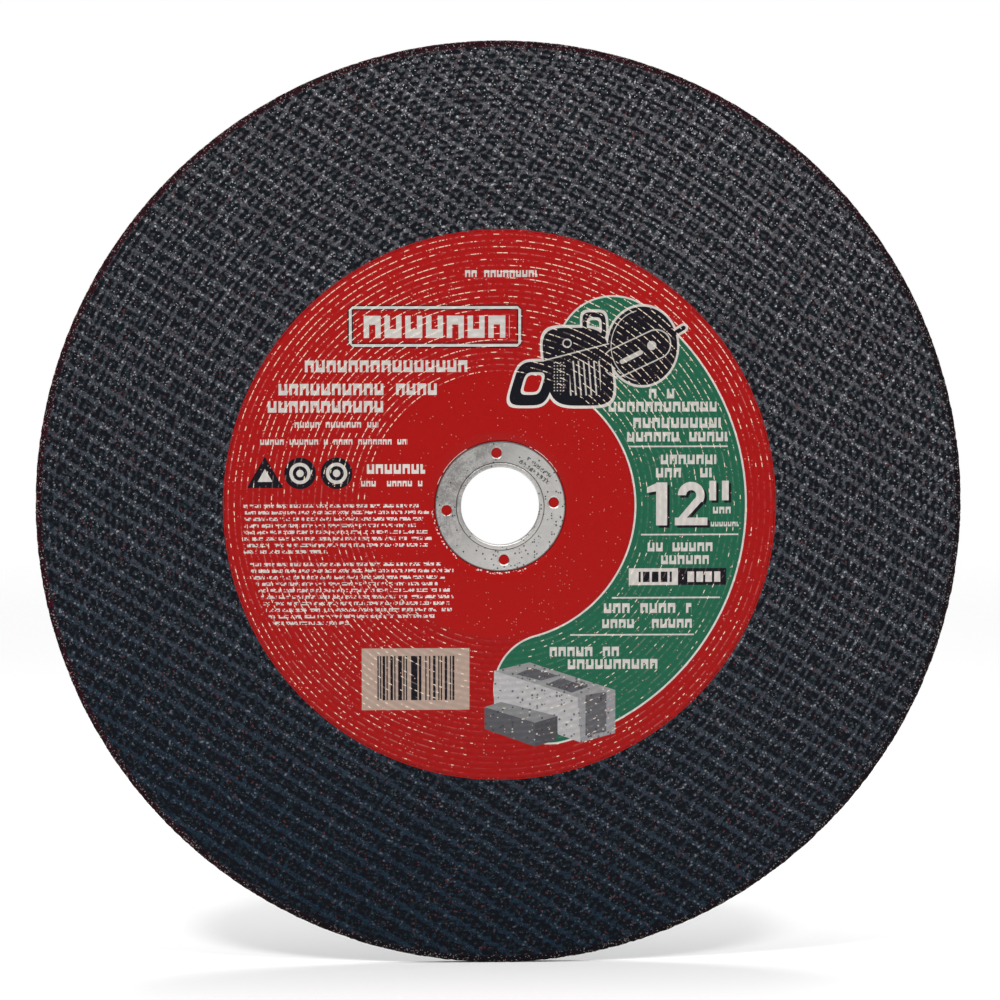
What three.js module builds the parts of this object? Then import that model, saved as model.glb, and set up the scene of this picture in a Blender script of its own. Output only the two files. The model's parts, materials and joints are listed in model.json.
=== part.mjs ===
// A reinforced masonry cutting wheel for a portable saw: a flat disc of resin-bonded silicon
// carbide grit laid up over three plies of glass mesh, with a printed paper label on its front,
// a plain paper blotter on its back, and a pressed steel eyelet that lines its bore.
//
// Frame, in millimetres: the wheel stands upright with its spin axis along Y. The printed front
// faces -Y, +Z is the print's up, and the origin is the centre of the bore at mid-thickness.

import * as THREE from "three";

// ---- driving dimensions ----

const WHEEL_RADIUS = 150; // a 300 mm (12 in) wheel
const BORE_RADIUS = 12.7; // a 25.4 mm (1 in) arbor

const SKIN_THICKNESS = 0.35; // mix pressed through the outer mesh, which forms the ridged face
const MESH_THICKNESS = 0.3; // one ply of resin-dipped glass mesh
const MIX_THICKNESS = 0.8; // one charge of abrasive mix between two plies
const LABEL_THICKNESS = 0.15;
const BLOTTER_THICKNESS = 0.2;
const STEEL_THICKNESS = 0.4; // sheet that the washer and the eyelet are pressed from

const LABEL_RADIUS = 89.6;
const BLOTTER_RADIUS = 55;
const RING_RADIUS = 21.1; // outside of the steel washer and of the eyelet's rear flange
const LIP_RADIUS = 14.1; // outside of the lip rolled over the washer
const FIT_CLEARANCE = 0.3; // between the pressed steel and whatever it passes through or sits in

const ANCHOR_HOLES = 4; // punched through the washer, so that resin keys into it
const ANCHOR_HOLE_RADIUS = 1.7;
const ANCHOR_CIRCLE_RADIUS = 17.4;
const ANCHOR_TURN = THREE.MathUtils.degToRad(4); // how far the holes sit past the upright cross

const DISC_SEGMENTS = 96;
const RING_SEGMENTS = 72;
const HOLE_SEGMENTS = 20;
const BEND_STEPS = 4; // straight steps in each rounded corner of the pressed steel

const PASSAGE_RADIUS = BORE_RADIUS + STEEL_THICKNESS + FIT_CLEARANCE; // the hole in each layer
const RECESS_RADIUS = RING_RADIUS + FIT_CLEARANCE; // where the steel is pressed into each face
const FRONT_RECESS_RADIUS = RECESS_RADIUS + LABEL_THICKNESS; // the label lines the front one

// ---- heights of the lay-up along Y, from the mid-plane out to each face ----

const CENTRE_MESH_FACE = MESH_THICKNESS / 2;
const MIX_FACE = CENTRE_MESH_FACE + MIX_THICKNESS;
const OUTER_MESH_FACE = MIX_FACE + MESH_THICKNESS;
const WHEEL_FACE = OUTER_MESH_FACE + SKIN_THICKNESS;
const LABEL_FACE = WHEEL_FACE + LABEL_THICKNESS;
const LABEL_SEAT = OUTER_MESH_FACE + LABEL_THICKNESS; // the label's face under the washer
const WASHER_FACE = LABEL_SEAT + STEEL_THICKNESS;
const LIP_FACE = WASHER_FACE + STEEL_THICKNESS;
const BLOTTER_FACE = WHEEL_FACE + BLOTTER_THICKNESS;
const FLANGE_FACE = OUTER_MESH_FACE + STEEL_THICKNESS;

// ---- materials ----

function finish(color, roughness, metalness = 0) {
  return new THREE.MeshStandardMaterial({ color, roughness, metalness });
}

const abrasiveMix = () => finish(0x32353b, 0.85);
const glassMesh = () => finish(0xa89f86, 0.6);
const printedPaper = () => finish(0xa8202a, 0.55);
const blotterPaper = () => finish(0x8f8a80, 0.9);
const platedSteel = () => finish(0xb4b2b0, 0.35, 1);

// ---- shapes ----

// A flat ring about Y between two heights. Its profile runs round the section once.
function flatRing(innerRadius, outerRadius, lowY, highY) {
  const section = [
    new THREE.Vector2(innerRadius, lowY),
    new THREE.Vector2(outerRadius, lowY),
    new THREE.Vector2(outerRadius, highY),
    new THREE.Vector2(innerRadius, highY),
    new THREE.Vector2(innerRadius, lowY),
  ];
  return new THREE.LatheGeometry(section, DISC_SEGMENTS);
}

// The points of a circle in the plane of the wheel's face.
function circlePoints(x, z, radius, segments) {
  const points = [];
  for (let i = 0; i < segments; i += 1) {
    const angle = (2 * Math.PI * i) / segments;
    points.push(new THREE.Vector2(x + radius * Math.cos(angle), z + radius * Math.sin(angle)));
  }
  return points;
}

// The points of a rounded corner of a lathe section, from one angle to another about its centre.
function bend(centreRadius, centreY, bendRadius, fromDegrees, toDegrees) {
  const points = [];
  for (let i = 0; i <= BEND_STEPS; i += 1) {
    const degrees = fromDegrees + ((toDegrees - fromDegrees) * i) / BEND_STEPS;
    const angle = THREE.MathUtils.degToRad(degrees);
    points.push(
      new THREE.Vector2(
        centreRadius + bendRadius * Math.cos(angle),
        centreY + bendRadius * Math.sin(angle),
      ),
    );
  }
  return points;
}

// The washer is punched from sheet: a ring with a circle of small round anchor holes.
function washerGeometry() {
  const outline = new THREE.Shape(circlePoints(0, 0, RING_RADIUS, RING_SEGMENTS));
  outline.holes.push(new THREE.Path(circlePoints(0, 0, PASSAGE_RADIUS, RING_SEGMENTS)));
  for (let i = 0; i < ANCHOR_HOLES; i += 1) {
    const angle = ANCHOR_TURN + (2 * Math.PI * i) / ANCHOR_HOLES;
    const x = ANCHOR_CIRCLE_RADIUS * Math.cos(angle);
    const z = ANCHOR_CIRCLE_RADIUS * Math.sin(angle);
    outline.holes.push(new THREE.Path(circlePoints(x, z, ANCHOR_HOLE_RADIUS, HOLE_SEGMENTS)));
  }
  const sheet = new THREE.ExtrudeGeometry(outline, { depth: STEEL_THICKNESS, bevelEnabled: false });
  sheet.rotateX(Math.PI / 2); // the extrusion now runs towards -Y
  sheet.translate(0, -LABEL_SEAT, 0);
  return sheet;
}

// The label is one sheet. It lies on the ridged face, and the washer has pressed its middle down
// into a shallow recess, where it lies on the mesh.
function labelGeometry() {
  const section = [
    new THREE.Vector2(PASSAGE_RADIUS, -LABEL_SEAT),
    new THREE.Vector2(RECESS_RADIUS, -LABEL_SEAT),
    new THREE.Vector2(RECESS_RADIUS, -LABEL_FACE),
    new THREE.Vector2(LABEL_RADIUS, -LABEL_FACE),
    new THREE.Vector2(LABEL_RADIUS, -WHEEL_FACE),
    new THREE.Vector2(FRONT_RECESS_RADIUS, -WHEEL_FACE),
    new THREE.Vector2(FRONT_RECESS_RADIUS, -OUTER_MESH_FACE),
    new THREE.Vector2(PASSAGE_RADIUS, -OUTER_MESH_FACE),
    new THREE.Vector2(PASSAGE_RADIUS, -LABEL_SEAT),
  ];
  return new THREE.LatheGeometry(section, DISC_SEGMENTS);
}

// The eyelet is drawn from sheet in one piece: a flat flange behind the wheel, a collar through
// the bore, and a lip rolled over the washer in front.
function eyeletGeometry() {
  const collarRadius = BORE_RADIUS + STEEL_THICKNESS;
  const innerBend = STEEL_THICKNESS;
  const lipBend = STEEL_THICKNESS / 2;
  const section = [
    // the rolled lip, from the bore round its nose to its seat on the washer
    ...bend(BORE_RADIUS + innerBend, -LIP_FACE + innerBend, innerBend, 180, 270),
    ...bend(LIP_RADIUS - lipBend, -LIP_FACE + lipBend, lipBend, 270, 360),
    new THREE.Vector2(LIP_RADIUS, -WASHER_FACE),
    // the collar's outside, back to the flange's front face
    new THREE.Vector2(collarRadius, -WASHER_FACE),
    new THREE.Vector2(collarRadius, OUTER_MESH_FACE),
    // the flange, and the bend from its back face into the bore
    new THREE.Vector2(RING_RADIUS, OUTER_MESH_FACE),
    new THREE.Vector2(RING_RADIUS, FLANGE_FACE),
    ...bend(BORE_RADIUS + innerBend, FLANGE_FACE - innerBend, innerBend, 90, 180),
  ];
  section.push(section[0].clone());
  return new THREE.LatheGeometry(section, RING_SEGMENTS);
}

// ---- the wheel, from its front face to its back ----

const wheel = new THREE.Group();

function add(name, geometry, material) {
  const mesh = new THREE.Mesh(geometry, material);
  mesh.name = name;
  wheel.add(mesh);
}

// One full-size layer of the disc between two heights.
function addLayer(name, innerRadius, lowY, highY, material) {
  add(name, flatRing(innerRadius, WHEEL_RADIUS, lowY, highY), material);
}

add("arbor_washer", washerGeometry(), platedSteel());
add("arbor_eyelet", eyeletGeometry(), platedSteel());
add("front_label", labelGeometry(), printedPaper());

addLayer("front_abrasive_skin", FRONT_RECESS_RADIUS, -WHEEL_FACE, -OUTER_MESH_FACE, abrasiveMix());
addLayer("front_glass_mesh", PASSAGE_RADIUS, -OUTER_MESH_FACE, -MIX_FACE, glassMesh());
addLayer("front_abrasive_core", PASSAGE_RADIUS, -MIX_FACE, -CENTRE_MESH_FACE, abrasiveMix());
addLayer("centre_glass_mesh", PASSAGE_RADIUS, -CENTRE_MESH_FACE, CENTRE_MESH_FACE, glassMesh());
addLayer("rear_abrasive_core", PASSAGE_RADIUS, CENTRE_MESH_FACE, MIX_FACE, abrasiveMix());
addLayer("rear_glass_mesh", PASSAGE_RADIUS, MIX_FACE, OUTER_MESH_FACE, glassMesh());
addLayer("rear_abrasive_skin", RECESS_RADIUS, OUTER_MESH_FACE, WHEEL_FACE, abrasiveMix());

const blotter = flatRing(RECESS_RADIUS, BLOTTER_RADIUS, WHEEL_FACE, BLOTTER_FACE);
add("rear_blotter", blotter, blotterPaper());

export default wheel;
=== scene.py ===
import json
import math

import bpy
import numpy as np
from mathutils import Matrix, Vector

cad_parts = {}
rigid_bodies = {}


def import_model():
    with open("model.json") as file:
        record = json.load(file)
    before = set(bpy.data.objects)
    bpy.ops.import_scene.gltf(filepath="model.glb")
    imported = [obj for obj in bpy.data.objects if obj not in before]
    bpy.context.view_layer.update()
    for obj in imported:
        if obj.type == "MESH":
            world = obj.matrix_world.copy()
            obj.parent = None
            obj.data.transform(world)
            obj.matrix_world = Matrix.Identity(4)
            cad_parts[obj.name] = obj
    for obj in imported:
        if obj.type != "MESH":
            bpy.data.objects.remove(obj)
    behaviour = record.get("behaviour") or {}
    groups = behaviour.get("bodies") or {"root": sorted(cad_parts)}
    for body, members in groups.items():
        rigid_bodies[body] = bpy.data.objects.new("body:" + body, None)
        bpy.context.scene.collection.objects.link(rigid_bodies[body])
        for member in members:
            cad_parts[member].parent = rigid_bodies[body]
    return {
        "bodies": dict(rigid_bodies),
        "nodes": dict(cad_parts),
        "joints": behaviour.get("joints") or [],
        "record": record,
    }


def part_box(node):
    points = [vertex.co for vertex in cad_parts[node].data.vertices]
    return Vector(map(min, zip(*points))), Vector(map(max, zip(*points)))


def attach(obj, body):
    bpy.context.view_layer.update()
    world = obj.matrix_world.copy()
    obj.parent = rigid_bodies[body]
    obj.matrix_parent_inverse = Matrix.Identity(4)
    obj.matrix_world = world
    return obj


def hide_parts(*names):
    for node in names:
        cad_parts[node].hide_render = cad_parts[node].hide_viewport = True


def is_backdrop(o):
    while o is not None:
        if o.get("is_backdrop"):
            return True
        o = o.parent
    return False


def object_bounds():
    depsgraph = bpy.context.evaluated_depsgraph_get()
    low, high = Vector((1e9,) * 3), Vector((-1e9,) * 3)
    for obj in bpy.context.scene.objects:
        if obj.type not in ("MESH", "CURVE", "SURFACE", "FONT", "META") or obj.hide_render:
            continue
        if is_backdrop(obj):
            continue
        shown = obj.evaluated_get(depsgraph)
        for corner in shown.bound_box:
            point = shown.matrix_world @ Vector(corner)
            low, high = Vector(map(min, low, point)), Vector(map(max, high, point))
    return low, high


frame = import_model()
cad_low, cad_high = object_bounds()

# ---- camera, floor and lights ----
# The wheel stands on its rim on a pale floor that fades into a white surround. A long lens looks
# slightly down on the printed face from a little to its left. Two softboxes stand high in front,
# and a wide one hangs over the floor.

MM = 0.001
SENSOR_WIDTH = 36.0
LENS = SENSOR_WIDTH * 4.01
CAMERA_DISTANCE = 1.3
CAMERA_TURN = math.radians(-2.2)
CAMERA_RISE = math.radians(5.4)
AIM = Vector((0.0, 0.0, 1.9)) * MM

bpy.ops.object.select_all(action="DESELECT")
away = Vector((
    math.sin(CAMERA_TURN) * math.cos(CAMERA_RISE),
    -math.cos(CAMERA_TURN) * math.cos(CAMERA_RISE),
    math.sin(CAMERA_RISE),
))
bpy.ops.object.camera_add(location=AIM + away * CAMERA_DISTANCE)
camera = bpy.context.object
camera.name = "camera"
camera.rotation_euler = away.to_track_quat("Z", "Y").to_euler()
camera.data.sensor_width = SENSOR_WIDTH
camera.data.lens = LENS
camera.data.clip_start = 0.01
bpy.context.scene.camera = camera
bpy.context.scene.view_settings.view_transform = "Standard"


class Shade:
    """A value in a material. Arithmetic on it adds the nodes that work it out."""

    def __init__(self, socket):
        self.socket = socket

    def node(self, kind, settings, sockets, output=0):
        """Adds a node to this value's material, and gives back one of its outputs."""
        tree = self.socket.id_data
        made = tree.nodes.new(kind)
        for name, value in settings.items():
            if name == "stops":
                ramp = made.color_ramp
                while len(ramp.elements) < len(value):
                    ramp.elements.new(1.0)
                for element, (place, colour) in zip(ramp.elements, value):
                    element.position = place
                    element.color = (*colour, 1.0)[:4]  # solid, unless the colour says otherwise
            elif name == "steps":
                made.color_ramp.interpolation = value
            else:
                setattr(made, name, value)
        for name, value in sockets.items():
            if isinstance(value, Shade):
                tree.links.new(value.socket, made.inputs[name])
            else:
                made.inputs[name].default_value = value
        return Shade(made.outputs[output])

    def math(self, operation, *values):
        return self.node("ShaderNodeMath", {"operation": operation}, dict(enumerate(values)))

    def __add__(self, other):
        return self.math("ADD", self, other)

    __radd__ = __add__

    def __sub__(self, other):
        return self.math("SUBTRACT", self, other)

    def __rsub__(self, other):
        return self.math("SUBTRACT", other, self)

    def __mul__(self, other):
        return self.math("MULTIPLY", self, other)

    __rmul__ = __mul__

    def __truediv__(self, other):
        return self.math("DIVIDE", self, other)

    def __abs__(self):
        return self.math("ABSOLUTE", self)

    def __lt__(self, other):
        return self.math("LESS_THAN", self, other)

    def __gt__(self, other):
        return self.math("GREATER_THAN", self, other)

    def most(self, other):
        return self.math("MAXIMUM", self, other)

    def least(self, other):
        return self.math("MINIMUM", self, other)

    def whole(self):
        return self.math("FLOOR", self)

    def scaled(self, factor, extra):
        """This value times a factor, plus an extra."""
        return self.math("MULTIPLY_ADD", self, factor, extra)

    def near(self, middle, reach):
        """1 within a reach of a middle value, and 0 further off."""
        return self.math("COMPARE", self, middle, reach)

    def eased(self, low, high):
        """From 0 at low to 1 at high, smoothly. High may be the lower number."""
        limits = {"Value": self, "From Min": low, "From Max": high}
        return self.node("ShaderNodeMapRange", {"interpolation_type": "SMOOTHSTEP"}, limits)

    def tinted(self, none, full):
        """A colour between none, where this value is 0, and full, where it is 1."""
        sides = [
            side if isinstance(side, Shade) else (*side, 1.0)
            for side in (none, full)
        ]
        settings = {"data_type": "RGBA"}
        return self.node("ShaderNodeMix", settings, {0: self, 6: sides[0], 7: sides[1]}, 2)


def new_material(name):
    """A material with one Principled shader, and the Object coordinates of its surface."""
    material = bpy.data.materials.new(name)
    material.use_nodes = True
    surface = material.node_tree.nodes["Principled BSDF"]
    places = material.node_tree.nodes.new("ShaderNodeTexCoord")
    return material, surface, Shade(places.outputs["Object"])


def finish(surface, **values):
    """Sets or links the shader's sockets, whose names are given with underscores for spaces."""
    for name, value in values.items():
        socket = surface.inputs[name.replace("_", " ")]
        if isinstance(value, Shade):
            surface.id_data.links.new(value.socket, socket)
        else:
            socket.default_value = value


FLOOR_SIZE = 6.0
FLOOR_SOLID = 0.35  # metres from the wheel to where the floor starts to fade
FLOOR_GONE = 1.3

bpy.ops.mesh.primitive_plane_add(size=FLOOR_SIZE, location=(0, 0, cad_low.z))
bpy.ops.object.transform_apply(location=True, rotation=True, scale=True)
floor = bpy.context.object
floor.name = "floor"
floor_paint, floor_surface, floor_place = new_material("pale_floor")
finish(floor_surface, Base_Color=(0.92, 0.92, 0.92, 1), Roughness=0.9)
finish(floor_surface, Specular_IOR_Level=0.1)
from_wheel = floor_place.node("ShaderNodeVectorMath", {"operation": "LENGTH"}, {0: floor_place}, 1)
clear = floor_place.node("ShaderNodeBsdfTransparent", {}, {})
faded = from_wheel.eased(FLOOR_SOLID, FLOOR_GONE)
solid = Shade(floor_surface.outputs[0])
blend = faded.node("ShaderNodeMixShader", {}, {0: faded, 1: solid, 2: clear})
floor_end = floor_paint.node_tree.nodes["Material Output"].inputs["Surface"]
floor_paint.node_tree.links.new(blend.socket, floor_end)
floor.data.materials.append(floor_paint)
floor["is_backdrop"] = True

SURROUND_SEEN = 1.0
SURROUND_LIGHT = 0.22

world = bpy.data.worlds.new("white_surround")
bpy.context.scene.world = world
world.use_nodes = True
sky = world.node_tree.nodes["Background"]
seen = Shade(world.node_tree.nodes.new("ShaderNodeLightPath").outputs["Is Camera Ray"])
strength = seen * (SURROUND_SEEN - SURROUND_LIGHT) + SURROUND_LIGHT
world.node_tree.links.new(strength.socket, sky.inputs["Strength"])
sky.inputs["Color"].default_value = (1, 1, 1, 1)


def add_softbox(name, place, size, power):
    """A square area light aimed at the wheel's centre."""
    bpy.ops.object.light_add(type="AREA", location=place)
    lamp = bpy.context.object
    lamp.name = name
    lamp.rotation_euler = Vector(place).to_track_quat("Z", "Y").to_euler()
    lamp.data.size = size
    lamp.data.energy = power


add_softbox("softbox_high_left", (-0.5, -0.65, 0.85), 0.2, 6.0)
add_softbox("softbox_high_right", (0.55, -0.65, 0.85), 0.2, 4.6)
add_softbox("softbox_over_floor", (0.1, 0.3, 1.6), 1.6, 30)


# ---- the rear abrasive skin ----
# Silicon carbide grit and dark resin that the press has squeezed through the outer glass mesh. The
# platen's turned grooves and the mesh under it leave ridges and a weave in its face.

RIDGE_PITCH = 2.0
PAIR_PITCH = 5.3
YARN_PITCH = PAIR_PITCH / 2
ASKEW_SINE, ASKEW_COSINE = 0.545, 0.839  # the mesh lies 33 degrees askew
RELIEF_DEPTH = 0.22
PLY = 0.3
WHEEL_RADIUS = 150.0
RIM_CHAMFER = 0.8
SEAT_DEPTH = 0.15  # how far a paper is pressed into a skin
SEAT_INSET = 0.6  # how far inside a paper's edge its seat ends
FIT = 0.3  # between the pressed steel and the layers round it

skin_low, skin_high = (corner.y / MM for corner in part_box("rear_abrasive_skin"))
blotter_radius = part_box("rear_blotter")[1].x / MM
ring_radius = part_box("arbor_eyelet")[1].x / MM


def root(value):
    if isinstance(value, Shade):
        return value.math("SQRT", value)
    return np.sqrt(value)


def wave(turns):
    """The cosine of a number of turns, for arrays of places and for material values."""
    if isinstance(turns, Shade):
        return turns.math("COSINE", turns * (2 * math.pi))
    return np.cos(2 * math.pi * turns)


def across_yarns(x, z):
    """How far a place in mm lies across each of the mesh's two families of yarn."""
    return ASKEW_SINE * x + ASKEW_COSINE * z, ASKEW_COSINE * x - ASKEW_SINE * z


def ridges_and_weave(x, z):
    """How high the turned ridges and the mesh's weave stand at a place in mm, from 0 to 1 each."""
    weave = 0.5
    for offset in across_yarns(x, z):
        weave = weave + 0.17 * wave(offset / YARN_PITCH) + 0.08 * wave(offset / PAIR_PITCH)
    return 0.5 + 0.5 * wave(root(x * x + z * z) / RIDGE_PITCH), weave


def pressed_height(ridges, weave):
    """Height of a pressed face, from 0 in its valleys to 1 on its crests."""
    return (0.20 + 0.60 * ridges) * (0.15 + 1.10 * weave)


def relief(x, z):
    """Height of a pressed face at a place in mm."""
    return pressed_height(*ridges_and_weave(x, z))


def rows(start, end, count):
    """Evenly spaced points of an outline, from just after the start to the end."""
    (radius, height), (last_radius, last_height) = start, end
    return [
        (
            radius + (last_radius - radius) * i / count,
            height + (last_height - height) * i / count,
        )
        for i in range(1, count + 1)
    ]


def turned(name, outline, steps):
    """Extrudes one vertex round a closed outline of (radius, y) points in mm, and spins it."""
    bpy.ops.object.select_all(action="DESELECT")
    bpy.ops.mesh.primitive_plane_add(size=MM)
    piece = bpy.context.object
    piece.name = name
    bpy.ops.object.mode_set(mode="EDIT")
    bpy.ops.mesh.select_all(action="SELECT")
    bpy.ops.mesh.merge(type="CENTER")
    bpy.ops.transform.translate(value=Vector((*outline[0], 0)) * MM)
    for (radius, height), (next_radius, next_height) in zip(outline, [*outline[1:], outline[0]]):
        step = Vector((next_radius - radius, next_height - height, 0)) * MM
        bpy.ops.mesh.extrude_region_move(TRANSFORM_OT_translate={"value": step})
    bpy.ops.mesh.select_all(action="SELECT")
    bpy.ops.mesh.remove_doubles(threshold=0.005 * MM)
    bpy.ops.object.mode_set(mode="OBJECT")
    spin = piece.modifiers.new("spin", "SCREW")
    spin.axis = "Y"
    spin.steps = spin.render_steps = steps
    bpy.ops.object.modifier_apply(modifier=spin.name)
    bpy.ops.object.mode_set(mode="EDIT")
    bpy.ops.mesh.select_all(action="SELECT")
    bpy.ops.mesh.remove_doubles(threshold=0.005 * MM)
    bpy.ops.mesh.normals_make_consistent(inside=False)
    bpy.ops.object.mode_set(mode="OBJECT")
    return piece


def vertex_places(piece):
    """The piece's vertices as rows of x, y and z in mm, and their radii."""
    places = np.empty(len(piece.data.vertices) * 3)
    piece.data.vertices.foreach_get("co", places)
    places = places.reshape(-1, 3) / MM
    return places, np.hypot(places[:, 0], places[:, 2])


def press(piece, face, inner, outer):
    """Sinks the ridges and the weave into one face of a turned piece, between two radii."""
    places, radius = vertex_places(piece)
    on_face = (abs(places[:, 1] - face) < 0.01) & (radius > inner) & (radius < outer)
    sunk = RELIEF_DEPTH * (1 - relief(places[on_face, 0], places[on_face, 2]))
    places[on_face, 1] -= math.copysign(1, face) * sunk
    piece.data.vertices.foreach_set("co", places.ravel() * MM)


def chip_rim(piece, depth, seed):
    """Knocks each vertex near the wheel's rim in by its own small amount."""
    places, radius = vertex_places(piece)
    near = radius > WHEEL_RADIUS - RIM_CHAMFER - 0.01
    share = np.clip((radius[near] - WHEEL_RADIUS + RIM_CHAMFER) / RIM_CHAMFER, 0.3, 1)
    inward = 1 - depth * share * np.random.default_rng(seed).random(near.sum()) / radius[near]
    places[near, 0] *= inward
    places[near, 2] *= inward
    piece.data.vertices.foreach_set("co", places.ravel() * MM)


def across(place):
    """The surface's x, y and z in mm, as three values."""
    split = place.node("ShaderNodeSeparateXYZ", {}, {0: place})
    return [Shade(output) * (1 / MM) for output in split.socket.node.outputs]


def grains(place, size):
    """Grains of one size in mm: how far a point is from its grain's middle, and its chance."""
    sockets = {"Vector": place, "Scale": 1 / (size * MM)}
    distance = place.node("ShaderNodeTexVoronoi", {}, sockets)
    colour = Shade(distance.socket.node.outputs["Color"])
    chances = colour.node("ShaderNodeSeparateColor", {}, {0: colour})
    return distance, [Shade(output) for output in chances.socket.node.outputs]


def cloud(place, size, detail=3.0):
    """Soft blotches of one size in mm, from 0 to 1."""
    sockets = {"Vector": place, "Scale": 1 / (size * MM), "Detail": detail}
    return place.node("ShaderNodeTexNoise", {}, sockets)


def bump(height, distance, strength=1.0):
    sockets = {"Height": height, "Distance": distance * MM, "Strength": strength}
    return height.node("ShaderNodeBump", {}, sockets)


def grit_material(name):
    """Dark carbide grains in resin, with bright facets on some and red ones near the rim. Its colour
    holds a painted sheen, lighter towards the top and the right, painted shade in the valleys, and
    bright grains partly painted as glints.
    """
    material, surface, place = new_material(name)
    x, _, z = across(place)
    radius = root(x * x + z * z)
    ridges, weave = ridges_and_weave(x, z)
    height = pressed_height(ridges, weave)
    dome, (glint, tint, kind) = grains(place, 0.55)
    fine_dome, (fine_glint, fine_kind, _) = grains(place, 0.30)
    mottle = cloud(place, 1.5, 2)
    # Painted sheen: the grit is painted lighter towards the top and the right, as the lights fall on
    # it.
    painted_sheen = z.scaled(1 / 260, x.scaled(1 / 830, 0.48))
    # Painted light: the rows of yarn pairs show more where the painted sheen is weaker, towards the
    # bottom left.
    pairs = wave(across_yarns(x, z)[0] / PAIR_PITCH) * painted_sheen.scaled(-0.20, 0.25)
    # Crests are painted lighter than the valleys: more exposed grains on them, and painted shade in
    # the valleys.
    crest = (ridges * 0.36 + weave * 1.1 + mottle * 1.7 + pairs).eased(1.34, 2.04)
    lit = crest * fine_glint.scaled(1.6, 0.05) * tint.scaled(1.0, 0.4)
    pale = painted_sheen.tinted((0.013, 0.029, 0.051), (0.142, 0.135, 0.147))
    base = lit.tinted((0.004, 0.005, 0.008), pale)
    base = ((kind > 0.90) * 0.4).tinted(base, (0.012, 0.040, 0.045))
    base = ((kind < 0.015) * 0.7).tinted(base, (0.110, 0.030, 0.030))
    # Bright grains, dimmed towards the bottom with the painted sheen: partly pale grains, partly
    # painted glints.
    bright = glint.eased(0.93, 1.0) * crest.scaled(0.8, 0.2) * painted_sheen.scaled(1.0, 0.25)
    base = bright.tinted(base, (0.44, 0.44, 0.47))
    base = ((fine_kind > 0.986) * painted_sheen.scaled(0.8, 0.15)).tinted(base, (0.50, 0.50, 0.53))
    edge = (radius + mottle * 1.6).eased(WHEEL_RADIUS - 1.6, WHEEL_RADIUS - 1.0)
    base = (edge * 0.95).tinted(base, (0.003, 0.003, 0.005))
    upper_left = (z - x).eased(-140, 120).scaled(0.8, 0.15)
    base = (edge * upper_left * (fine_kind > 0.66)).tinted(base, (0.060, 0.004, 0.010))
    base = (edge * (fine_glint > 0.92) * 0.7).tinted(base, (0.30, 0.27, 0.26))
    rough = 0.78 - 0.4 * bright
    swell = (1 - dome) * 0.5 + (1 - fine_dome) * 0.3 + height * 0.6
    finish(surface, Base_Color=base, Roughness=rough, Specular_IOR_Level=0.09)
    finish(surface, Normal=bump(swell, 0.22, 0.9))
    return material


def fitted(piece, node, material, smooth=60):
    """Puts a finished piece in the wheel, in the place of a plain solid."""
    bpy.ops.object.select_all(action="DESELECT")
    piece.select_set(True)
    bpy.context.view_layer.objects.active = piece
    bpy.ops.object.shade_smooth_by_angle(angle=math.radians(smooth))
    piece.data.name = piece.name
    piece.data.materials.clear()
    piece.data.materials.append(material)
    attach(piece, "root")
    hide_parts(node)


def skin_outline(papered, inner, face, back, count):
    """A skin's section: a flat seat for its paper, a ridged face, a chamfer, and its rim."""
    outward = math.copysign(1, face)
    seat = face - outward * SEAT_DEPTH
    edge = (WHEEL_RADIUS, face - outward * 0.25)
    start = (papered - SEAT_INSET, face)
    return [
        (inner, seat),
        (papered - SEAT_INSET, seat),
        start,
        *rows(start, (WHEEL_RADIUS - RIM_CHAMFER, face), count),
        *rows((WHEEL_RADIUS - RIM_CHAMFER, face), edge, 2),
        *rows(edge, (WHEEL_RADIUS, back), 2),
        (papered, back),
        (inner, back),
    ]


grit = grit_material("carbide_grit_and_resin")
rear_outline = skin_outline(
    blotter_radius, ring_radius + FIT, skin_high, skin_low - PLY / 2, 140
)
rear_skin = turned("rear_skin", rear_outline, 640)
press(rear_skin, skin_high, blotter_radius - 0.5, WHEEL_RADIUS - 0.1)
chip_rim(rear_skin, 0.5, 3)
fitted(rear_skin, "rear_abrasive_skin", grit)


# ---- the rear blotter ----
# A plain ring of kraft blotting paper that cushions the rear flange. It is laid in the mould and
# pressed with the wheel, so the ridges print through it.


def blotter_material():
    """Brown felted paper, darker in the ridges' valleys and worn at both of its edges."""
    material, surface, place = new_material("kraft_blotter")
    x, _, z = across(place)
    radius = root(x * x + z * z)
    height = relief(x, z)
    fibres = cloud(place, 0.7, 5)
    patches = cloud(place, 18)
    base = fibres.eased(0.35, 0.65).tinted((0.16, 0.125, 0.085), (0.31, 0.25, 0.175))
    base = (patches.eased(0.4, 0.7) * 0.45).tinted(base, (0.12, 0.10, 0.08))
    base = ((1 - height) * 0.45).tinted(base, (0.09, 0.075, 0.06))
    _, (luck, _, _) = grains(place, 0.5)
    base = ((luck > 0.94) * 0.7).tinted(base, (0.04, 0.04, 0.045))
    wear_and_painted_glints = (radius.eased(24, 21.5)).most(radius.eased(53.5, 55))
    base = (wear_and_painted_glints * 0.6).tinted(base, (0.07, 0.065, 0.06))
    finish(surface, Base_Color=base, Roughness=0.88, Specular_IOR_Level=0.3)
    finish(surface, Normal=bump(fibres * 0.5 + height, 0.12, 0.8))
    return material


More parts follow.
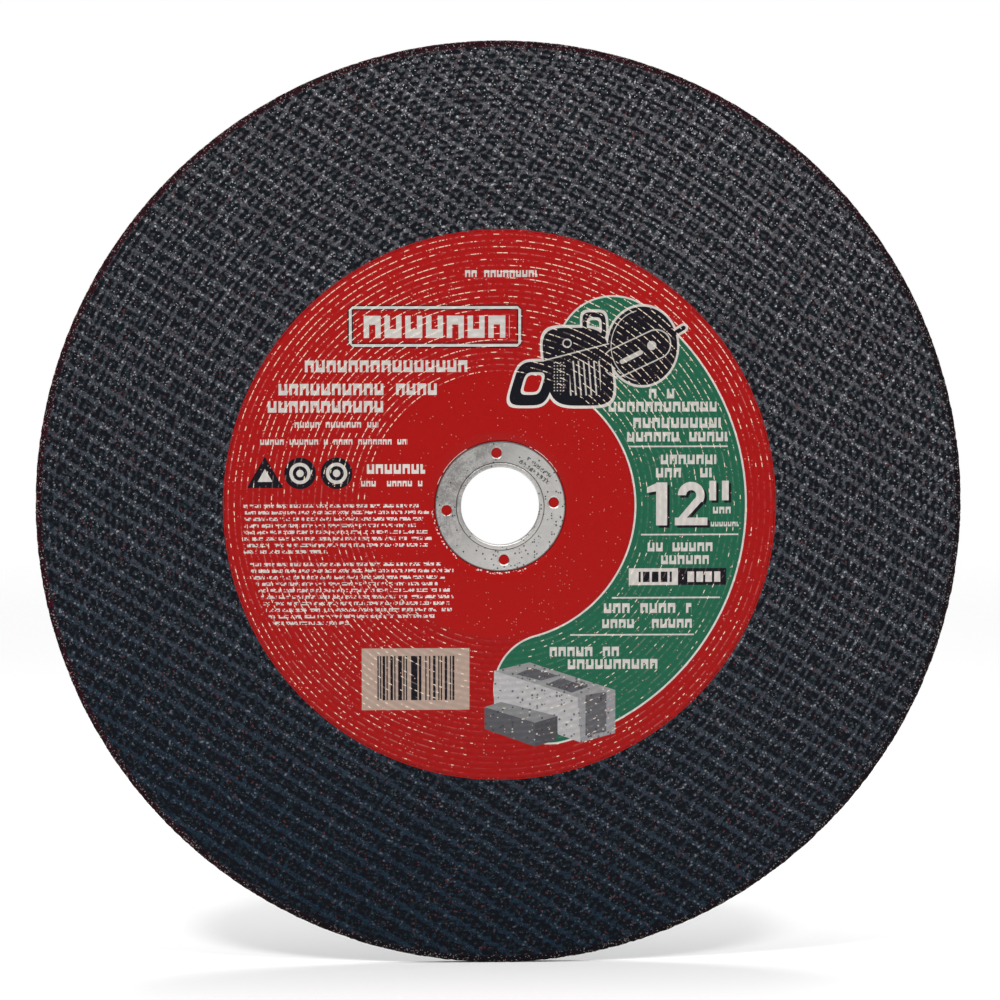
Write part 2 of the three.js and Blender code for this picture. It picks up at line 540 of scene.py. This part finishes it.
blotter_low, blotter_high = (corner.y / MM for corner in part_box("rear_blotter"))
blotter_inner = ring_radius + FIT
blotter_outline = [
    (blotter_inner, blotter_low - SEAT_DEPTH),
    (blotter_inner, blotter_high),
    *rows((blotter_inner, blotter_high), (blotter_radius, blotter_high), 66),
    (blotter_radius, blotter_low - SEAT_DEPTH),
]
rear_blotter = turned("rear_blotter_paper", blotter_outline, 540)
press(rear_blotter, blotter_high, 24, blotter_radius - 0.1)
fitted(rear_blotter, "rear_blotter", blotter_material())


# ---- the three glass meshes ----
# Plies of resin-dipped glass yarn, woven in pairs at a 5.3 mm pitch and laid askew to the print's
# upright. They carry the wheel's strength. Their cut ends show round the rim.

PAIR_GAP = 0.62  # from the middle of a pair to each of its yarns
YARN_HALF_WIDTH = 0.48
MESH_ANGLE = math.radians(-33)
BORE_HOLE = 13.4


def yarn_material():
    """Glass fibre under brown resin: fine streaks, darker where the resin pools."""
    material, surface, place = new_material("resin_dipped_glass_yarn")
    streaks = cloud(place, 0.25, 4)
    pools = cloud(place, 3)
    base = streaks.eased(0.3, 0.7).tinted((0.20, 0.145, 0.075), (0.52, 0.44, 0.29))
    base = (pools.eased(0.5, 0.7) * 0.6).tinted(base, (0.10, 0.06, 0.035))
    finish(surface, Base_Color=base, Roughness=0.42 + 0.25 * pools)
    finish(surface, Normal=bump(streaks, 0.05, 0.7))
    return material


def yarn_runs(offset):
    """The start and end of each length of yarn that runs at an offset from the middle."""
    half = math.sqrt((WHEEL_RADIUS - 0.2) ** 2 - offset**2)
    if abs(offset) >= BORE_HOLE:
        return [(-half, half)]
    gap = math.sqrt(BORE_HOLE**2 - offset**2)
    return [(-half, -gap), (gap, half)]


def woven_ply(name, low, high):
    """Lays every yarn as a curve that passes over and under, and thins them to the ply."""
    bpy.ops.object.select_all(action="DESELECT")
    bpy.ops.curve.primitive_bezier_curve_add()
    ply = bpy.context.object
    ply.name = name
    ply.data.splines.clear()
    ply.data.bevel_depth = YARN_HALF_WIDTH * MM
    ply.data.bevel_resolution = 0
    ply.data.use_fill_caps = True
    reach = int(WHEEL_RADIUS / PAIR_PITCH)
    for family in (0, 1):
        turn = MESH_ANGLE + family * math.pi / 2
        along = Vector((math.cos(turn), 0, math.sin(turn)))
        aside = Vector((-math.sin(turn), 0, math.cos(turn)))
        for pair in range(-reach, reach + 1):
            for side in (-1, 1):
                offset = pair * PAIR_PITCH + side * PAIR_GAP
                for start, end in yarn_runs(offset):
                    crossings = range(
                        math.ceil(start / PAIR_PITCH), math.floor(end / PAIR_PITCH) + 1
                    )
                    stations = [start, *(n * PAIR_PITCH for n in crossings), end]
                    lifts = [0.0, *((-1) ** (n + pair + family) for n in crossings), 0.0]
                    spline = ply.data.splines.new("POLY")
                    spline.points.add(len(stations) - 1)
                    for point, station, lift in zip(spline.points, stations, lifts):
                        spot = along * station + aside * offset
                        spot.y = lift * YARN_HALF_WIDTH
                        point.co = (*(spot * MM), 1)
    bpy.ops.object.convert(target="MESH")
    ply = bpy.context.object
    places, radius = vertex_places(ply)
    places[:, 1] = (low + high) / 2 + places[:, 1] * (high - low) / (4 * YARN_HALF_WIDTH)
    places[:, (0, 2)] *= np.minimum(1, (WHEEL_RADIUS - 0.1) / radius)[:, None]
    ply.data.vertices.foreach_set("co", places.ravel() * MM)
    return ply


yarn = yarn_material()
for node in ("rear_glass_mesh", "centre_glass_mesh", "front_glass_mesh"):
    low, high = (corner.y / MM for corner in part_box(node))
    ply = woven_ply(node.replace("glass_mesh", "yarn_ply"), low, high)
    fitted(ply, node, yarn)


# ---- the two abrasive cores ----
# The wheel's cutting body: two charges of grit mix, spread between the plies. The mix flows halfway
# into each mesh as it is pressed, so that no gap is left in the rim.


def core_outline(low, high):
    """A core's section, with its rim in rows so that it can be chipped."""
    bottom, top = low - PLY / 2, high + PLY / 2
    return [
        (BORE_HOLE, bottom),
        (WHEEL_RADIUS - RIM_CHAMFER, bottom),
        (WHEEL_RADIUS, bottom),
        *rows((WHEEL_RADIUS, bottom), (WHEEL_RADIUS, top), 4),
        (WHEEL_RADIUS - RIM_CHAMFER, top),
        (BORE_HOLE, top),
    ]


for node, seed in (("rear_abrasive_core", 11), ("front_abrasive_core", 17)):
    low, high = (corner.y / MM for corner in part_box(node))
    core = turned(node.replace("abrasive", "mix"), core_outline(low, high), 720)
    chip_rim(core, 0.4, seed)
    fitted(core, node, grit)


# ---- the front abrasive skin ----
# The same mix as the rear skin, pressed through the front ply. Its middle is a flat seat for the
# label, and outside the label it shows its ridges, its weave and its bright grains.

skin_low, skin_high = (corner.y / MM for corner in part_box("front_abrasive_skin"))
label_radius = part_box("front_label")[1].x / MM
front_outline = skin_outline(
    label_radius, ring_radius + FIT + SEAT_DEPTH, skin_low, skin_high + PLY / 2, 122
)
front_skin = turned("front_skin", front_outline, 720)
press(front_skin, skin_low, label_radius - 0.5, WHEEL_RADIUS - 0.1)
chip_rim(front_skin, 0.5, 5)
fitted(front_skin, "front_abrasive_skin", grit)


# ---- the printed label ----
# One sheet of red coated paper, printed in green, navy and off-white, and bonded to the wheel in the
# press, which leaves the ridges in it. Its colour holds painted light, lighter towards the top,
# painted shade in the ridges' valleys, and painted glints as pale dashes on their crests. Rows of
# small blocks stand for its words.

RED = (0.445, 0.005, 0.005)
DEEP_RED = (0.365, 0.004, 0.003)
GREEN = (0.014, 0.130, 0.070)
NAVY = (0.005, 0.005, 0.010)
OFF_WHITE = (0.66, 0.62, 0.58)
BARE_PAPER = (0.47, 0.345, 0.28)
RIDGE_START = 43.0  # the radius where the ridges in the label begin
BAND_MIDDLE = 61.85
BAND_HALF = 17.65
OUTLINE = 0.6
LABEL_REACH = 100.0  # a stepped ramp tells places from this far left or low to this far right or up
TALLEST_WORD = 10.0
FINE_PITCH = 2.125  # between rows of fine print
STROKE = 0.42  # the width of a stroke of fine print, or of a bar of the bar code
DASH_PITCH = 2.1  # between painted glint dashes along a ridge


def panel(x, z, left, right, low, high):
    """1 inside an upright rectangle, and 0 outside it."""
    wide = x.near((left + right) / 2, (right - left) / 2)
    return wide * z.near((low + high) / 2, (high - low) / 2)


def disc_depth(x, z, middle_x, middle_z, radius):
    """How far inside a circle a point is, in mm."""
    aside, up = x - middle_x, z - middle_z
    return radius - root(up.scaled(up, aside * aside))


def patch_depth(x, z, *corners):
    """How far inside a convex outline a point is. Its corners run clockwise."""
    depth = None
    for (x0, z0), (x1, z1) in zip(corners, [*corners[1:], corners[0]]):
        length = math.hypot(x1 - x0, z1 - z0)
        rise, run = (z1 - z0) / length, (x1 - x0) / length
        side = x.scaled(rise, z.scaled(-run, z0 * run - x0 * rise))
        depth = side if depth is None else depth.least(side)
    return depth


def chance(cell, row=0.0):
    """A number from 0 to 1, by chance, for each cell of each row."""
    sockets = {"Vector": cell.node("ShaderNodeCombineXYZ", {}, {0: cell, 1: row})}
    return cell.node("ShaderNodeTexWhiteNoise", {"noise_dimensions": "2D"}, sockets)


def word_rows(x, z, lines):
    """Rows of slotted blocks, in the place of lines of words, from the lowest up.

    Each line is its left end, right end, foot and head. A stepped ramp up the label gives the
    first three, and the height, of the line that is nearest to a point.
    """
    foot, head = lines[0][2] - 3, lines[-1][3] + 3
    starts = [foot, *((below[3] + line[2]) / 2 for below, line in zip(lines, lines[1:]))]
    stops = []
    for start, line in zip(starts, lines):
        ends = [(value + LABEL_REACH) / (2 * LABEL_REACH) for value in line[:3]]
        tall = (line[3] - line[2]) / TALLEST_WORD
        stops.append(((start - foot) / (head - foot), (*ends, tall)))
    share = z.scaled(1 / (head - foot), -foot / (head - foot))
    settings = {"stops": stops, "steps": "CONSTANT"}
    ramp = share.node("ShaderNodeValToRGB", settings, {0: share})
    height = Shade(ramp.socket.node.outputs["Alpha"]) * TALLEST_WORD
    split = ramp.node("ShaderNodeSeparateColor", {}, {0: ramp})
    left, right, low = [
        Shade(end).scaled(2 * LABEL_REACH, -LABEL_REACH) for end in split.socket.node.outputs
    ]
    step = (x - left) / (height * 0.93)
    cell = step.whole()
    luck = chance(cell, low)
    inside = step - cell
    up = (z - low) / height
    notch = inside.near(0.41, 0.15) * up.near((luck > 0.55).scaled(0.8, 0.1), 0.5)
    letters = (inside < 0.82) * (luck > 0.1) * (1 - notch)
    return letters * up.near(0.5, 0.5) * (x > left) * (x < right)


def small_print(x, z, top, count, left, slant, right):
    """A paragraph of fine print as rows of short strokes. Left, slant and right are in mm."""
    down = z.scaled(-1 / FINE_PITCH, top / FINE_PITCH)
    row = (down + 0.5).whole()
    in_rows = down.near(row, 0.25) * row.near((count - 1) / 2, count / 2)
    stroke = chance((x / STROKE).whole(), (down * 4.6).whole()) > 0.44
    spacing = x.scaled(1 / 4.3, row * 0.37)
    spaced = (spacing - spacing.whole()) > 0.17
    ends = chance(row, 7.0).scaled(-9, right) - (row > count - 1.5) * 34
    return in_rows * stroke * spaced * (x > row.scaled(slant, left)) * (x < ends)


def printed(base, colour, *masks):
    """Lays one ink over the colours so far, wherever any of the masks is 1."""
    for mask in masks:
        base = mask.tinted(base, colour)
    return base


def band_depth(x, z, radius):
    """How far inside the round-ended green band a point is."""
    angle = z.math("ARCTAN2", z, x)
    along = angle.near(math.radians(-10.5), math.radians(64.5))
    far_outside = (along - 0.5) * 1000  # very low past the band's ends, and no limit between them
    depth = (BAND_HALF - abs(radius - BAND_MIDDLE)).least(far_outside)
    for turn in (54, -75):
        end_x = BAND_MIDDLE * math.cos(math.radians(turn))
        end_z = BAND_MIDDLE * math.sin(math.radians(turn))
        depth = depth.most(disc_depth(x, z, end_x, end_z, BAND_HALF))
    return depth


def label_left(base, x, z):
    """The left side: a framed bar, rows of words, three plain signs and two paragraphs."""
    frame_x, frame_z = abs(x + 21), abs(z - 58.3)
    frame = (27.8 - frame_x).least(6.6 - frame_z).least(33.2 - frame_x - frame_z)
    base = printed(base, NAVY, frame.near(0.5, 0.9))
    base = printed(base, OFF_WHITE, frame.near(0.5, 0.45))
    lines = (
        (-45, -24.3, 6.6, 8.4),
        (-46, -24.3, 10.7, 13.8),
        (-77.5, -30, 20.2, 21.9),
        (-66.4, -39.4, 25.7, 27.5),
        (-75, -37.8, 30.6, 34.3),
        (-71.5, -20.3, 36.2, 39.9),
        (-63, -10.5, 43.6, 47.4),
        (-44, 3, 54.6, 61.8),
        (-11.3, 12, 74.2, 76.4),
    )
    base = printed(base, OFF_WHITE, word_rows(x, z, lines))
    sign = patch_depth(x, z, (-76, 16.2), (-70.3, 6.3), (-81.7, 6.3))
    base = printed(base, NAVY, sign > -0.1)
    base = printed(base, OFF_WHITE, sign > 1.9)
    for middle in (-64.7, -52.9):
        spot = disc_depth(x, z, middle, 10.9, 5.1)
        base = printed(base, NAVY, spot > 0)
        base = printed(base, OFF_WHITE, spot.near(2.2, 0.55), spot > 3.9)
    base = printed(base, OFF_WHITE, small_print(x, z, 0.3, 8, -83, 0, -21))
    base = printed(base, OFF_WHITE, small_print(x, z, -18.7, 10, -81.5, 0.8, -14))
    base = printed(base, BARE_PAPER, panel(x, z, -45, -10, -66.4, -46.2))
    stripe = chance((x / STROKE).whole(), 3.0) > 0.45
    return printed(base, NAVY, stripe * panel(x, z, -40.2, -14.9, -63.2, -48.7))


def numerals(x, z):
    """The figures one and two of the wheel's size in inches, and its two inch marks."""
    flag = patch_depth(x, z, (47.6, 4.2), (47.6, 6.0), (51.2, 7.6), (51.2, 4.8))
    one = (flag > 0).most(panel(x, z, 50.6, 54.2, -6.4, 7.6))
    bowl = abs(disc_depth(x, z, 62, 3.4, 3.0)) < 1.35
    bowl = bowl * ((z > 3.4).most(x > 62.6)) * (z > 1.2)
    stem = patch_depth(x, z, (63.2, 2.4), (66.2, 2.2), (60.2, -4.4), (56.8, -5.2))
    two = bowl.most(stem > 0).most(panel(x, z, 56.7, 67.3, -6.4, -3.9))
    marks = x.near(71.05, 3.15) * z.near(4.9, 3.2) * (abs(x - 71.05) > 0.95)
    return one.most(two).most(marks)


def label_right(base, x, z, depth):
    """The green band: rows of words, rules, the size numeral, and two size boxes."""
    base = printed(base, OFF_WHITE, depth > -OUTLINE)
    base = printed(base, GREEN, depth > 0)
    lines = (
        (22, 51.2, -53.3, -50.1),
        (16.1, 40.4, -49.1, -46),
        (33.2, 62.7, -39.9, -37),
        (33.7, 62.2, -35, -31.8),
        (49.6, 67.8, -19.1, -16.2),
        (47.9, 69.3, -14.9, -12),
        (68.4, 77.5, -6.8, -5.3),
        (69.1, 74.9, -2.6, -0.4),
        (50.5, 68.7, 9.2, 12.3),
        (49.2, 70.1, 13.5, 16.6),
        (41.1, 73.8, 20.9, 24),
        (43.1, 71.5, 25.3, 28.6),
        (35.1, 70.1, 30.6, 33.8),
        (48.2, 56.7, 34.9, 38),
    )
    base = printed(base, OFF_WHITE, word_rows(x, z, lines))
    for left, right, height in (
        (42, 73.8, 19.3), (45.7, 77.4, -9.4), (36.3, 71.5, -30.0), (22.8, 63.1, -42.1)
    ):
        base = printed(base, OFF_WHITE, panel(x, z, left, right, height - 0.25, height + 0.25))
    base = printed(base, NAVY, numerals(x - 0.8, z + 0.8))
    base = printed(base, OFF_WHITE, numerals(x, z), panel(x, z, 41.8, 57.8, -25.9, -20.4))
    base = printed(base, NAVY, panel(x, z, 57.8, 73.5, -25.9, -20.4))
    step = x / 2.9
    blocks = (step - step.whole() < 0.75) * z.near(-23.2, 1.7)
    base = printed(base, NAVY, blocks * x.near(50.4, 5.4))
    return printed(base, OFF_WHITE, blocks * x.near(66, 5.6))


def bar_depth(x, z, x0, z0, x1, z1, radius):
    """How far inside a round-ended bar a point is."""
    length = math.hypot(x1 - x0, z1 - z0)
    run, rise = (x1 - x0) / length, (z1 - z0) / length
    along = x.scaled(run, z.scaled(rise, -x0 * run - z0 * rise)).most(0.0).least(length)
    aside, up = x - along.scaled(run, x0), z - along.scaled(rise, z0)
    return radius - root(up.scaled(up, aside * aside))


def pillow_depth(x, z, middle_x, middle_z, half_wide, half_high, lean=0.0):
    """How far inside a round-cornered box a point is. The box may lean to the right."""
    up = z - middle_z
    aside = up.scaled(-lean, x - middle_x) / half_wide
    up = up / half_high
    aside, up = aside * aside, up * up
    return (1 - root(root(up.scaled(up, aside * aside)))) * min(half_wide, half_high)


def saw_picture(base, x, z):
    """A plain picture of a portable saw: body, blade guard, belt arm and two handles."""
    guard = disc_depth(x * 1.13, z, 46.0 * 1.13, 51.9, 12.7)
    body = pillow_depth(x, z, 25.2, 45.2, 10.8, 12.6, -0.14)
    top_handle = 0.7 - abs(pillow_depth(x, z, 30.4, 58.4, 3.8, 4.4, -0.05) - 0.7)
    rear_handle = 1.55 - abs(pillow_depth(x, z, 10.5, 39.8, 6.4, 7.1, 0.30) - 1.55)
    nozzle = bar_depth(x, z, 53.5, 54.2, 59.3, 57.7, 0.7)
    depth = guard.most(body).most(top_handle).most(rear_handle).most(nozzle)
    base = printed(base, OFF_WHITE, depth > -0.8)
    base = printed(base, NAVY, depth > 0)
    step = x.scaled(0.60, z * 0.05)
    fins = (step - step.whole()).near(0.5, 0.15) * x.near(27.5, 5.0) * z.near(41.5, 5.6)
    vent_x, vent_z = x - x.whole(), z - z.whole()
    vents = vent_x.near(0.5, 0.2) * vent_z.near(0.5, 0.2) * x.near(19, 2.2) * z.near(42, 5.2)
    arm = bar_depth(x, z, 38, 46.6, 50.4, 52.4, 4.7)
    arm_edge = arm.near(0.0, 0.22) * (x > 34)
    slot = bar_depth(x, z, 39.4, 46.8, 45.4, 49.8, 0.75) > 0
    knob = disc_depth(x, z, 49.0, 52.0, 1.5) > 0
    deck = bar_depth(x, z, 14, 47.2, 35, 52.6, 0.22) > 0
    caps = disc_depth(x, z, 21.6, 52.8, 1.5).near(0.2, 0.22)
    guard_edge = guard.near(1.2, 0.16) * (x < 44)
    marks = fins.most(vents).most(arm_edge).most(slot).most(knob).most(deck).most(caps)
    return printed(base, OFF_WHITE, marks.most(guard_edge) * 0.85)


def block_picture(base, place, x, z):
    """Two plain building blocks: a hollow one behind, and a solid one in front."""
    faces = (
        ((0.30, 0.30, 0.30), (-2, -53.7), (9.5, -51), (37.5, -60.2), (25.2, -62.6)),
        ((0.47, 0.46, 0.46), (-2, -53.7), (25.2, -62.6), (26.2, -77.4), (-2, -67)),
        ((0.30, 0.30, 0.31), (25.2, -62.6), (37.5, -60.2), (37.5, -74.4), (26.2, -77.4)),
        ((0.12, 0.12, 0.13), (27.8, -61.8), (34.6, -60.8), (34.6, -73.8), (27.8, -75.2)),
        ((0.10, 0.10, 0.11), (5.2, -54.9), (10.2, -52.8), (19.1, -55.4), (13.3, -57.0)),
        ((0.10, 0.10, 0.11), (14.8, -58.3), (19.8, -56.2), (28.7, -59.1), (23.3, -61.0)),
        ((0.24, 0.24, 0.245), (-5.1, -65.6), (0.3, -63.9), (18.7, -68.7), (11.4, -70.8)),
        ((0.10, 0.10, 0.11), (-5.1, -65.6), (11.4, -70.8), (11.4, -78.7), (-5.1, -72.8)),
        ((0.075, 0.077, 0.085), (11.4, -70.8), (18.7, -68.7), (18.7, -76.4), (11.4, -78.7)),
    )
    drawn = None
    for grey, *corners in faces:
        face = patch_depth(x, z, *corners) > 0
        base = printed(base, grey, face)
        drawn = face if drawn is None else drawn.most(face)
    pit, (luck, _, _) = grains(place, 0.8)
    base = printed(base, (0.05, 0.05, 0.06), (luck < 0.12) * (pit < 0.5) * drawn * 0.8)
    return printed(base, OFF_WHITE, (luck > 0.95) * (pit < 0.4) * drawn * 0.8)


def label_material():
    """Printed coated paper, painted lighter towards the top, with painted shade in the ridges'
    valleys and painted glints as dashes on their crests.
    """
    material, surface, place = new_material("printed_label")
    x, _, z = across(place)
    radius = root(x * x + z * z)
    height = relief(x, z)
    depth = band_depth(x, z, radius)
    pressed = radius.eased(RIDGE_START - 1, RIDGE_START + 1)
    blotches = cloud(place, 1.6, 4).eased(0.35, 0.7) * 0.25
    # Painted light: where the ridges are, the red is painted lighter towards the top.
    base = (pressed * z.scaled(0.4 / 90, 0.6) - blotches).tinted(DEEP_RED, RED)
    base = label_left(base, x, z)
    base = label_right(base, x, z, depth)
    base = saw_picture(base, x, z)
    base = block_picture(base, place, x, z)
    # Painted shade in the ridges' valleys.
    base = ((1 - height) * pressed * 0.22).tinted(base, (0.010, 0.002, 0.003))
    # The painted glints on the crests are strongest on the diagonals, but milder at the lower right
    # than at the other three.
    lean = abs(x * z) * 2 / (radius * radius) + (z / radius).scaled(0.2, 0.2)
    lean = lean * (1 - ((x - z) / radius).most(0.0) * 0.42)
    turns = radius / RIDGE_PITCH
    ring = (turns + 0.5).whole()
    crest = turns.near(ring, 0.062)
    angle = z.math("ARCTAN2", z, x)
    along = angle * ring * (RIDGE_PITCH / DASH_PITCH)
    dash = chance(along.whole(), ring)
    short = (along - along.whole()) < z.scaled(0.25 / 90, 0.62)
    broken = cloud(place, 1.3, 2)
    # Painted glints: faint pink dashes along the ridges, and bright cream dashes on their crests.
    faint_painted_glints = turns.near(ring, 0.09) * pressed * (broken > 0.52) * lean.least(0.5)
    base = (faint_painted_glints * 0.35).tinted(base, (0.62, 0.46, 0.43))
    wear_and_painted_glints = crest * pressed * (dash < lean * 0.62) * short * (broken > 0.42)
    base = (wear_and_painted_glints * 0.9).tinted(base, (0.88, 0.74, 0.56))
    nick, (luck, shade, _) = grains(place, 0.75)
    # Pale marks round the washer's recess: scuffs with painted glints at the lower left, and painted
    # highlights as thin crescents on the upper arcs of its edge.
    scuffs_and_painted_glints = radius.near(21.8, 0.35) * (z < 0) * (x < 12) * (nick < 0.42) * (luck > 0.5)
    upper_arcs = angle.near(2.45, 0.35).most(angle.near(0.85, 0.3))
    painted_edge_highlights = radius.near(21.5, 0.13) * (luck > 0.2) * upper_arcs
    base = printed(base, (0.80, 0.66, 0.62), scuffs_and_painted_glints * 0.9, painted_edge_highlights * 0.8)
    nicked = (luck > 0.91) * (nick < 0.26) * shade * shade
    base = (nicked * 0.8).tinted(base, (0.75, 0.42, 0.38))
    rough = 0.34 + 0.2 * cloud(place, 2.5)
    finish(surface, Base_Color=base, Roughness=rough, Specular_IOR_Level=0.14)
    finish(surface, Normal=bump(height * pressed + 0.3 * broken, 0.12, 0.9))
    return material


label_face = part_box("front_label")[0].y / MM
label_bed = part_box("front_label")[1].y / MM
washer_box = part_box("arbor_washer")
washer_seat = washer_box[1].y / MM
recess = washer_box[1].x / MM + FIT
bed = skin_low + SEAT_DEPTH
label_outline = [
    (BORE_HOLE, label_bed),
    (BORE_HOLE, washer_seat),
    (recess - 0.1, washer_seat),
    (recess, washer_seat - 0.08),
    (recess, label_face + 0.1),
    (recess + 0.12, label_face),
    *rows((recess + 0.12, label_face), (RIDGE_START - 1, label_face), 6),
    *rows((RIDGE_START - 1, label_face), (label_radius, label_face), 96),
    (label_radius, bed),
    (recess + 0.15, bed),
    (recess + 0.15, label_bed),
]
front_label = turned("label_sheet", label_outline, 880)
press(front_label, label_face, RIDGE_START, label_radius + 1)
fitted(front_label, "front_label", label_material())


# ---- the pressed steel washer ----
# A ring punched from zinc-plated sheet. It lies in the label's recess, and resin keys into its four
# small round holes, whose punched edges stand up in a slight burr.

washer_face = washer_box[0].y / MM
HOLE_CIRCLE = 17.4
HOLE_RADIUS = 1.7
HOLE_TURN = math.radians(4)
STAMP_COSINE, STAMP_SINE = 0.788, 0.616  # the stamped rows stand 38 degrees off level
STAMP_DOT = 0.42


def steel_material():
    """Dull plating over rolled sheet: cloudy tarnish, darkened on the upper left by painted shade,
    painted shade in its creases and round its edge, fine scratches and black specks.
    """
    material, surface, place = new_material("plated_steel")
    x, y, z = across(place)
    radius = root(x * x + z * z)
    blotches = cloud(place, 3.2, 5)
    fine = cloud(place, 0.5, 3)
    # Painted shade: the upper left of the steel is darkened in clouds of tarnish and shade.
    shadow_side = (x - 0.5 * z).eased(6, -18)
    base = (blotches * 0.5 + fine * 0.5).tinted((0.46, 0.445, 0.43), (0.86, 0.84, 0.81))
    tarnish_and_shade = shadow_side * (blotches + fine).eased(0.7, 1.25)
    base = (tarnish_and_shade * 0.75).tinted(base, (0.20, 0.19, 0.185))
    # Painted shade: a dark line in the crease at the foot of the rolled lip, on the front, and round
    # the steel's outer edge.
    painted_groove_and_edge_shade = (radius.near(14.25, 0.16) * (y < 0)).most(radius > 20.75)
    base = (painted_groove_and_edge_shade * 0.75).tinted(base, (0.07, 0.06, 0.058))
    along = x * STAMP_COSINE - z * STAMP_SINE
    up = x * STAMP_SINE + z * STAMP_COSINE
    dots = chance((along / STAMP_DOT).whole(), (up / STAMP_DOT).whole()) > 0.48
    spaced = (along / 1.35 - (along / 1.35).whole()) < 0.8
    upper_row = up.near(17.7, 0.66) * along.near(2.0, 4.9)
    lower_row = up.near(15.6, 0.66) * along.near(1.8, 5.9)
    stamped = upper_row.most(lower_row) * dots * spaced * (y < 0)
    base = (stamped * 0.8).tinted(base, (0.06, 0.055, 0.055))
    speck, (luck, _, _) = grains(place, 0.7)
    lower_right = (x - z).eased(-6, 26)
    dirt = (luck > 0.97 - 0.16 * lower_right) * (speck < 0.42)
    base = (dirt * 0.9).tinted(base, (0.02, 0.018, 0.018))
    rough = 0.36 + 0.25 * fine
    finish(surface, Base_Color=base, Roughness=rough, Metallic=1 - 0.7 * dirt)
    finish(surface, Normal=bump(fine * 0.6 + blotches, 0.08, 0.5))
    return material


FACE_EDGES, SEAT_EDGES = 0, 1
outer_edge = (
    (ring_radius - 0.10, washer_face),
    (ring_radius - 0.02, washer_face + 0.08),
    (ring_radius - 0.02, washer_seat),
)
inner_edge = (
    (BORE_HOLE + 0.06, washer_face),
    (BORE_HOLE, washer_face + 0.06),
    (BORE_HOLE, washer_seat),
)
punched_edge = (
    (HOLE_RADIUS + 0.46, washer_face),
    (HOLE_RADIUS + 0.38, washer_face - 0.08),
    (HOLE_RADIUS + 0.30, washer_face - 0.08),
    (HOLE_RADIUS, washer_face + 0.13),
    (HOLE_RADIUS - 0.04, washer_face + 0.20),
    (HOLE_RADIUS - 0.04, washer_seat),
)
edges = [(0, 0, 192, outer_edge), (0, 0, 160, inner_edge)]
for quarter in range(4):
    turn = HOLE_TURN + quarter * math.pi / 2
    middle_x, middle_z = HOLE_CIRCLE * math.cos(turn), HOLE_CIRCLE * math.sin(turn)
    edges.append((middle_x, middle_z, 48, punched_edge))

bpy.ops.object.select_all(action="DESELECT")
bpy.ops.mesh.primitive_plane_add(size=MM)
washer = bpy.context.object
washer.name = "washer"
washer.vertex_groups.new(name="face_edges")
washer.vertex_groups.new(name="seat_edges")
bpy.ops.object.mode_set(mode="EDIT")
bpy.ops.mesh.select_all(action="SELECT")
bpy.ops.mesh.delete(type="VERT")
for middle_x, middle_z, count, profile in edges:
    middle = Vector((middle_x, washer_face, middle_z)) * MM
    bpy.ops.mesh.primitive_circle_add(
        vertices=count, radius=profile[0][0] * MM, location=middle, rotation=(math.pi / 2, 0, 0)
    )
    washer.vertex_groups.active_index = FACE_EDGES
    bpy.ops.object.vertex_group_assign()
    for (radius, height), (next_radius, next_height) in zip(profile, profile[1:]):
        step = Vector((0, next_height - height, 0)) * MM
        bpy.ops.mesh.extrude_edges_move(TRANSFORM_OT_translate={"value": step})
        bpy.ops.object.vertex_group_remove_from()
        share = next_radius / radius
        bpy.ops.transform.resize(value=(share, 1, share), center_override=middle)
    washer.vertex_groups.active_index = SEAT_EDGES
    bpy.ops.object.vertex_group_assign()
for group in (FACE_EDGES, SEAT_EDGES):
    bpy.ops.mesh.select_all(action="DESELECT")
    washer.vertex_groups.active_index = group
    bpy.ops.object.vertex_group_select()
    bpy.ops.mesh.fill(use_beauty=True)
bpy.ops.mesh.select_all(action="SELECT")
bpy.ops.mesh.normals_make_consistent(inside=False)
bpy.ops.object.mode_set(mode="OBJECT")
steel = steel_material()
fitted(washer, "arbor_washer", steel, smooth=25)


# ---- the steel eyelet ----
# Drawn from the same sheet in one piece: a flat flange behind the wheel, a collar that lines the
# bore, and a lip rolled over the washer. It goes in last, and the rolling locks the wheel's middle.

SHEET = 0.4
lip_face, flange_face = (corner.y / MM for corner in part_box("arbor_eyelet"))
BORE_RADIUS = 12.7
LIP_RADIUS = 14.1


def bend(middle_radius, middle_height, radius, start, end, count=7):
    """Points round a bent corner of an outline, between two angles in degrees."""
    angles = [math.radians(start + (end - start) * i / count) for i in range(count + 1)]
    return [
        (middle_radius + radius * math.cos(a), middle_height + radius * math.sin(a))
        for a in angles
    ]


flange_seat = flange_face - SHEET
eyelet_outline = [
    *bend(BORE_RADIUS + SHEET, lip_face + SHEET, SHEET, 180, 270),
    *bend(LIP_RADIUS - SHEET / 2, lip_face + SHEET / 2, SHEET / 2, 270, 360),
    (LIP_RADIUS, washer_face),
    (BORE_RADIUS + SHEET, washer_face),
    (BORE_RADIUS + SHEET, flange_seat),
    (ring_radius, flange_seat),
    *bend(ring_radius - 0.12, flange_face - 0.12, 0.12, 0, 90, 3),
    *bend(BORE_RADIUS + SHEET, flange_face - SHEET, SHEET, 90, 180),
]
eyelet = turned("eyelet", eyelet_outline, 256)
fitted(eyelet, "arbor_eyelet", steel, smooth=50)

# The box of the finished pieces, with the solids hidden; the box of the solids was taken at the
# start.
low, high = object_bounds()
